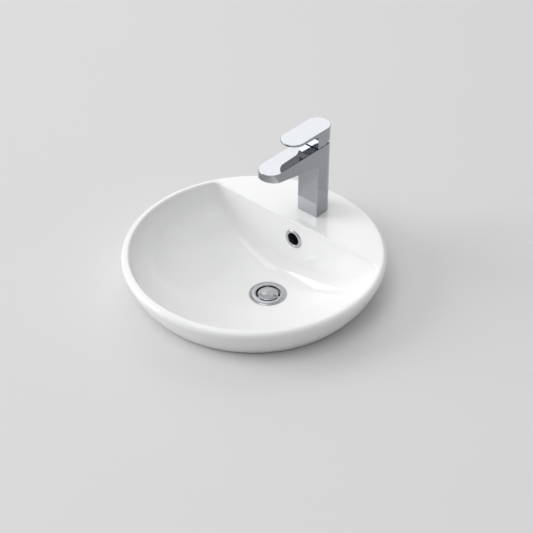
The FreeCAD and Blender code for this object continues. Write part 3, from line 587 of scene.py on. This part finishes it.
def arc(centre, radius, start, end, count):
    """Corners along an arc of an outline, with its angles in degrees."""
    for angle in np.radians(np.linspace(start, end, count)):
        yield centre[0] + radius * math.cos(angle), centre[1] + radius * math.sin(angle)


trim = spun("overflow_ring", [
    *arc((trim_bore + trim_fold, trim_fold - trim_lip), trim_fold, 180, 270, 5),
    *arc((trim_radius - trim_lip, 0), trim_lip, 270, 360, 7),
    (trim_sleeve, 0),
    (trim_sleeve, trim_end),
    (trim_bore, trim_end),
], (0, ledge_front, overflow_z), axis="Y")
smooth(trim, degrees=35)

chrome = Finish("polished_chrome", metallic=1.0)
chrome_deep = (0.41, 0.422, 0.443, 1)
chrome_light = (0.43, 0.442, 0.463, 1)
chrome_rough = 0.03
polish_size = 0.02
polish_depth = 0.00001
haze_size = 0.004
haze_rough = 0.03
polish = chrome.noise(polish_size)
haze = chrome.noise(haze_size, detail=3.0)
chrome.set("Base Color", chrome.between(polish, chrome_deep, chrome_light))
chrome.set("Roughness", chrome_rough + haze_rough * haze)
chrome.set("Normal", chrome.bump(polish, polish_depth))
bright_chrome = Finish("waste_chrome", metallic=1.0)
satin_deep = (0.50, 0.507, 0.53, 1)
satin_light = (0.55, 0.557, 0.58, 1)
satin_rough = 0.17
satin_size = 0.015
swirl_size = 0.003
swirl_rough = 0.06
satin = bright_chrome.noise(satin_size)
swirl = bright_chrome.noise(swirl_size, detail=3.0)
bright_chrome.set("Base Color", bright_chrome.between(satin, satin_deep, satin_light))
bright_chrome.set("Roughness", satin_rough + swirl_rough * swirl)
bright_chrome.set("Normal", bright_chrome.bump(satin, polish_depth))
bright_chrome.on(trim)
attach(trim, "base")
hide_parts("overflow_trim")

# Waste: a chromed brass flange and threaded tube through the bowl's floor, drawn down by a nut from
# below. Slots in the tube take the overflow's water, and a three-armed spider across it carries the
# push mechanism.

flange_radius = (waste_high.x - waste_low.x) / 2
flange_top = waste_high.z
flange_thick = 0.0023
flange_under = flange_top - flange_thick
flange_fold = 0.0006
flange_edge = 0.0045
flange_break = 0.003
flange_drop = 0.0003
mouth_radius = 0.0223
seat_bore = 0.019
seat_depth = 0.0065
seat_top = flange_top - seat_depth
seat_lip = 0.003
seat_taper = 0.006
thread_radius = 0.0239
thread_pitch = 0.0023
thread_depth = 0.0009
crest_start = 0.4 * thread_pitch
crest_end = 0.6 * thread_pitch
tube_bore = 0.0205
tail_length = 0.022
tail_top = waste_low.z + tail_length
tail_groove = 0.002
thread_cover = 0.004
thread_end = boss_foot + thread_cover


def thread(radius, low, high):
    """Corners of a row of thread crests, between roots, from the foot of a round side to its head."""
    turns = round((high - low) / thread_pitch)
    for foot in np.linspace(low, high, turns, endpoint=False):
        yield radius - thread_depth, foot
        yield radius, foot + crest_start
        yield radius, foot + crest_end
    yield radius - thread_depth, high


waste = spun("waste_tube", [
    (tube_bore, waste_low.z),
    *thread(thread_radius, waste_low.z, tail_top),
    (thread_radius - thread_depth, tail_top + tail_groove),
    *list(thread(thread_radius, tail_top + tail_groove, thread_end))[1:],
    (thread_radius, thread_end + thread_depth),
    (thread_radius, flange_under),
    (flange_radius, flange_under),
    *arc((flange_radius - flange_fold, flange_under + flange_fold), flange_fold, 0, 60, 4),
    (flange_radius - flange_break, flange_top - flange_drop),
    (flange_radius - flange_edge, flange_top),
    *arc((mouth_radius + flange_fold, flange_top - flange_fold), flange_fold, 90, 180, 4),
    (mouth_radius, seat_top),
    (seat_bore, seat_top),
    (seat_bore, seat_top - seat_lip),
    (tube_bore, seat_top - seat_taper),
], (0, waste_y, 0), steps=128)
slot_half = 0.007
slot_reach = 2 * thread_radius
slot_across = oblong(-slot_reach, slot_reach, waste_y - slot_half, waste_y + slot_half)
slot_along = oblong(-slot_half, slot_half, waste_y - slot_reach, waste_y + slot_reach)
for outline in (slot_across, slot_along):
    combined(waste, "DIFFERENCE", prism("overflow_slot", outline, duct_floor, duct_leg, across="Z"))
lug_turn = 16
lug_count = 3
hub_radius = 0.007
hub_bore = 0.0041
arm_half = 0.0025
arm_reach = (tube_bore + thread_radius) / 2
spider_drop = 0.042
spider_height = 0.006
spider_top = rim_top - bowl_depth - spider_drop
spider_foot = spider_top - spider_height


def placed(piece, number):
    """Turn a piece that lies along X to its place, one of three about the waste."""
    angle = math.radians(lug_turn + 360 / lug_count * number)
    piece.data.transform(Matrix.Translation((0, waste_y, 0)) @ Matrix.Rotation(angle, 4, "Z"))
    return piece


combined(waste, "UNION", upright("spider_hub", hub_radius, 0, waste_y, spider_foot, spider_top))
arm_outline = oblong(0, arm_reach, -arm_half, arm_half)
for arm in range(lug_count):
    beam = prism("spider_arm", arm_outline, spider_foot, spider_top, across="Z")
    combined(waste, "UNION", placed(beam, arm))
combined(waste, "DIFFERENCE",
         upright("hub_bore", hub_bore, 0, waste_y, spider_foot - beyond, spider_top + beyond))
smooth(waste, degrees=30)
bright_chrome.on(waste)
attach(waste, "base")
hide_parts("waste_body")

# Plug: a domed cap of turned brass, chromed, with three centring lugs. It is pushed onto the plastic
# plunger that rises and falls in the brass sleeve, and holds the rubber ring under its edge.

cap_low, cap_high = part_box("plug_cap")
plug_radius = 0.0187
plug_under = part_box("plug_seal")[1].z
plug_crown = cap_high.z
plug_edge = 0.0016
plug_dome = 0.060
boss_half = 0.0076
plunger_socket = 0.0054
plunger_grip = 0.004
crown_ring = 0.0005
lug_root = 0.015
lug_reach = 0.0219
lug_half = 0.00275
lug_height = 0.002
dome_z = plug_crown - plug_dome
edge_reach = plug_radius - plug_edge
edge_z = dome_z + math.sqrt(plug_dome ** 2 - edge_reach ** 2) - plug_edge
dome_rings = 9
dome_reach = np.linspace(edge_reach, crown_ring, dome_rings)
dome_height = dome_z + np.sqrt(plug_dome ** 2 - dome_reach ** 2)
plug_side = [
    (boss_half, cap_low.z),
    (boss_half, plug_under),
    (plug_radius, plug_under),
    *arc((edge_reach, edge_z), plug_edge, 0, 75, 5),
    *zip(dome_reach, dome_height),
]
plug_rings = [np.array([0, waste_y, z]) + radius * hollow_round for radius, z in plug_side]
plug = ringed("plug_top", plug_rings, closed=False)
lug_outline = oblong(lug_root, lug_reach, -lug_half, lug_half)
for lug in range(lug_count):
    side = prism("lug", lug_outline, plug_under, plug_under + lug_height, across="Z")
    combined(plug, "UNION", placed(side, lug))
socket_start = cap_low.z - beyond
combined(plug, "DIFFERENCE",
         upright("plunger_socket", plunger_socket, 0, waste_y, socket_start, cap_low.z + plunger_grip))
smooth(plug, degrees=30)
bright_chrome.on(plug)
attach(plug, "plug")
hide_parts("plug_cap")

# Tap body: one brass casting, chromed and polished. Its plan is a pill whose round rear end is the
# back of the column and whose round front end is the spout's tip. The spout thins towards the tip.

half_width = (tap_high.x - tap_low.x) / 2
column_front = 0.138
spout_tip = 0.0144
spout_root = 0.0355
tip_rise = 0.002
side_reach = 0.05
edge_break = 0.0007


def pill(name, front, rear, low, high, sides=96):
    """Upright block with a round front end and a round rear end."""
    deselect()
    bpy.ops.mesh.primitive_circle_add(vertices=sides, radius=half_width, fill_type="NGON",
                                      rotation=(0, 0, math.pi / sides))
    piece = named(name)
    for vertex in piece.data.vertices:
        vertex.co.y += rear - half_width if vertex.co.y > 0 else front + half_width
        vertex.co.z = low
    bpy.ops.object.mode_set(mode="EDIT")
    bpy.ops.mesh.select_all(action="SELECT")
    bpy.ops.mesh.extrude_region_move(TRANSFORM_OT_translate={"value": (0, 0, high - low)})
    tidy_shell()
    return piece


tap = pill("tap_casting", tap_low.y, tap_high.y, tap_low.z - beyond, tap_high.z + beyond)
combined(tap, "INTERSECT", prism("tap_side", [
    (column_front, tap_low.z),
    (tap_high.y + beyond, tap_low.z),
    (tap_high.y + beyond, tap_high.z),
    (tap_low.y - beyond, tap_high.z),
    (tap_low.y - beyond, tap_high.z - spout_tip + tip_rise),
    (tap_low.y, tap_high.z - spout_tip),
    (column_front, tap_high.z - spout_root),
], -side_reach, side_reach))

# The casting is hollow for the cartridge, the hose tails, the stud, the aerator and the foot gasket.
fit = 0.0001
nut_radius = (nut_high.x - nut_low.x) / 2 + fit
chamber_low, chamber_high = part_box("cartridge_housing")
chamber_radius = (chamber_high.x - chamber_low.x) / 2 + fit
chamber_start = 0.100
chamber_floor = rim_top + chamber_start
inlet_x = 0.008
inlet_back = 0.005
inlet_y = tap_y + inlet_back
inlet_socket = 0.0048
inlet_depth = 0.014
inlet_bore = 0.0032
stud_front = 0.012
stud_y = tap_y - stud_front
stud_radius = 0.004 + fit
stud_grip = 0.016
aerator_radius = 0.0092
aerator_depth = 0.009
spout_slope = math.atan2(spout_root - spout_tip, column_front - tap_low.y)
aerator_up = Vector((0, math.sin(spout_slope), math.cos(spout_slope)))
aerator_drop = spout_tip + half_width * math.tan(spout_slope)
aerator_foot = Vector((0, tap_low.y + half_width, tap_high.z - aerator_drop))
gasket_low, gasket_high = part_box("tap_base_gasket")
gasket_half = (gasket_high.x - gasket_low.x) / 2 + fit
aerator_start = aerator_foot - beyond * aerator_up
aerator_stop = aerator_foot + aerator_depth * aerator_up
bevelled(tap, edge_break, segments=3, degrees=35)
combined(
    tap, "DIFFERENCE",
    upright("cartridge_chamber", chamber_radius, 0, tap_y, chamber_floor, tap_high.z + beyond),
    upright("nut_chamber", nut_radius, 0, tap_y, nut_low.z, tap_high.z + beyond),
    rod("aerator_seat", aerator_radius, aerator_start, aerator_stop),
    upright("stud_hole", stud_radius, 0, stud_y, rim_top - beyond, rim_top + stud_grip),
    prism("gasket_recess", [
        (-gasket_half, gasket_low.y - fit),
        (gasket_half, gasket_low.y - fit),
        *arc((0, gasket_high.y + fit - gasket_half), gasket_half, 0, 180, 33),
    ], rim_top - beyond, gasket_high.z, across="Z"),
)
for hand in (-inlet_x, inlet_x):
    combined(
        tap, "DIFFERENCE",
        upright("inlet_socket", inlet_socket, hand, inlet_y, rim_top - beyond, rim_top + inlet_depth),
        upright("inlet_way", inlet_bore, hand, inlet_y, rim_top, chamber_floor + fit),
    )


def polished(piece):
    """Smooth shading in which wide flat faces stay flat up to their edges."""
    smooth(piece, degrees=30)
    finished(piece, "WEIGHTED_NORMAL", mode="FACE_AREA", weight=100, keep_sharp=True)


polished(tap)
chrome.on(tap)
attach(tap, "base")
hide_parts("tap_body")

# Lever: a flat chromed handle, cast with the block that sits on the cartridge's stem. The block's
# rear underside slopes up, so that it clears the column when the front is lifted.

lever_low, lever_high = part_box("lever_handle")
lever_tip = 0.0038
lever_root = 0.006
lever_fillet = 0.008
rear_slope = math.radians(20)
plate_under = lever_high.z - lever_root
rear_end = lever_high.y + beyond
front_end = lever_low.y - beyond
lever = pill("lever_casting", lever_low.y, lever_high.y, lever_low.z - beyond, lever_high.z + beyond)
combined(lever, "INTERSECT", prism("lever_side", [
    (column_front, lever_low.z),
    (tap_y, lever_low.z),
    (rear_end, lever_low.z + (rear_end - tap_y) * math.tan(rear_slope)),
    (rear_end, lever_high.z),
    (front_end, lever_high.z),
    (front_end, lever_high.z - lever_tip),
    (lever_low.y, lever_high.z - lever_tip),
    *arc((column_front - lever_fillet, plate_under - lever_fillet), lever_fillet, 90, 0, 9),
], -side_reach, side_reach))
bevelled(lever, edge_break, segments=3, degrees=35)

# Its block has a pocket over the cartridge, a socket for the stem, and a screw's way under a cover plug.
pocket_radius = 0.013
pocket_depth = 0.006
stem_x = 0.003 + fit
stem_y = 0.004 + fit
socket_depth = 0.018
cover_low, cover_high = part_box("lever_cover_plug")
cover_radius = (cover_high.x - cover_low.x) / 2 + fit
screw_z = (cover_low.z + cover_high.z) / 2
screw_radius = 0.0025 + fit
block_start = lever_low.z - beyond
stem_outline = oblong(-stem_x, stem_x, tap_y - stem_y, tap_y + stem_y)
combined(
    lever, "DIFFERENCE",
    upright("block_pocket", pocket_radius, 0, tap_y, block_start, lever_low.z + pocket_depth),
    prism("stem_socket", stem_outline, block_start, lever_low.z + socket_depth, across="Z"),
    rod("screw_way", screw_radius, (0, tap_y, screw_z), (0, rear_end, screw_z)),
    rod("cover_seat", cover_radius, (0, cover_low.y, screw_z), (0, rear_end, screw_z)),
)
polished(lever)
chrome.on(lever)
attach(lever, "lever")
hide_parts("lever_handle")

# Small parts: rubber seals, turned brass nuts and sleeve, zinc-plated steel fixings, moulded plastic
# carriers and the cartridge's lapped ceramic discs. Little of them shows once they are fitted, so they
# keep the shapes of their solids and only get their finish here.


def mottled(name, size, detail, dark, light, rough, vary, depth=0, **constants):
    """Finish whose colour, roughness and relief all follow one noise."""
    finish = Finish(name, **constants)
    tone = finish.noise(size, detail)
    finish.set("Base Color", finish.between(tone, (*dark, 1), (*light, 1)))
    finish.set("Roughness", rough + vary * tone)
    if depth:
        finish.set("Normal", finish.bump(tone, depth))
    return finish


rubber = mottled("black_rubber", 0.0008, 3.0, (0.012, 0.012, 0.013), (0.025, 0.025, 0.027),
                 rough=0.55, vary=0.2, depth=0.00005, specular_ior_level=0.3)
brass = mottled("machined_brass", 0.006, 2.0, (0.60, 0.43, 0.19), (0.68, 0.51, 0.25),
                rough=0.22, vary=0.15, metallic=1.0)
steel = mottled("zinc_plated_steel", 0.004, 3.0, (0.42, 0.43, 0.45), (0.55, 0.56, 0.57),
                rough=0.25, vary=0.2, metallic=1.0)
plastic = mottled("white_plastic", 0.003, 2.0, (0.74, 0.74, 0.72), (0.78, 0.78, 0.76),
                  rough=0.4, vary=0.1)
grey = mottled("grey_plastic", 0.002, 2.0, (0.16, 0.16, 0.165), (0.19, 0.19, 0.195),
               rough=0.35, vary=0.1)
disc = mottled("lapped_ceramic", 0.002, 2.0, (0.76, 0.74, 0.69), (0.8, 0.78, 0.74),
               rough=0.18, vary=0.1)
finishes = {
    "china": glaze,
    "tap_chrome": chrome,
    "waste_chrome": bright_chrome,
    "black_rubber": rubber,
    "brass": brass,
    "steel": steel,
    "white_plastic": plastic,
    "grey_plastic": grey,
    "disc_ceramic": disc,
}
for subpart in frame["record"]["subparts"]:
    finishes[subpart["material_slot"]].on(nodes[subpart["node"]])

# Stage: a pale floor with a round cut-out that the bowl hangs through, a sky that is brightest overhead,
# three large softboxes, and the camera where the photograph was taken from.

cutout = 0.1905
bench_sides = 256
bench_steps = (2, 20)
deselect()
bpy.ops.mesh.primitive_circle_add(vertices=bench_sides, radius=cutout)
floor = named("floor")
bpy.ops.object.mode_set(mode="EDIT")
bpy.ops.mesh.select_all(action="SELECT")
for share in bench_steps:
    bpy.ops.mesh.extrude_edges_move()
    bpy.ops.transform.resize(value=(share, share, 1))
tidy_shell()
paint = Finish("pale_floor", roughness=0.55, specular_ior_level=0.25)
paint_dark = (0.715, 0.715, 0.72, 1)
paint_light = (0.735, 0.735, 0.74, 1)
paint_size = 0.6
paint.set("Base Color", paint.between(paint.noise(paint_size), paint_dark, paint_light))
paint.on(floor)

world = bpy.data.worlds.new("studio")
scene.world = world
world.use_nodes = True
sky = Wire(world.node_tree)
world.node_tree.nodes.clear()
facing = sky.node("ShaderNodeTexCoord", {}, {}, "Generated")
lift = 0.5 + 0.5 * sky.node("ShaderNodeSeparateXYZ", {}, {"Vector": facing}, "Z")
below = (0.38, 0.38, 0.38, 1)
dome = sky.node("ShaderNodeValToRGB", {"stops": [
    (0.0, below),
    (1.0, (0.76, 0.76, 0.763, 1)),
    (0.47, below),
    (0.5, (0.03, 0.03, 0.031, 1)),
    (0.625, (0.21, 0.21, 0.212, 1)),
]}, {"Fac": lift})
background = sky.node("ShaderNodeBackground", {}, {"Color": dome, "Strength": 1.0})
sky.node("ShaderNodeOutputWorld", {}, {"Surface": background})


def softbox(name, place, target, size, power):
    """Square area light that faces a target."""
    data = bpy.data.lights.new(name, "AREA")
    data.shape = "SQUARE"
    data.size = size
    data.energy = power
    lamp = bpy.data.objects.new(name, data)
    lamp.location = place
    lamp.rotation_euler = (Vector(target) - Vector(place)).to_track_quat("-Z", "Y").to_euler()
    scene.collection.objects.link(lamp)


softbox("rear_softbox", (-4.8, 6.0, 5.0), (0, 0.1, 0.15), size=5.0, power=120)
softbox("side_softbox", (-6.5, -4.5, 3.2), (0, 0, 0.05), size=5.2, power=400)
softbox("high_softbox", (-0.6, -3.1, 7.9), (0, 0, 0.05), size=5.2, power=145)

camera_fall = 37.90
camera_heading = 41.99
camera_data = bpy.data.cameras.new("camera")
camera_data.lens = 87.38
camera = bpy.data.objects.new("camera", camera_data)
camera.location = (1.1914, -1.2924, 1.3903)
camera.rotation_euler = (math.radians(90 - camera_fall), 0, math.radians(camera_heading))
scene.collection.objects.link(camera)
scene.camera = camera
scene.view_settings.view_transform = "Standard"
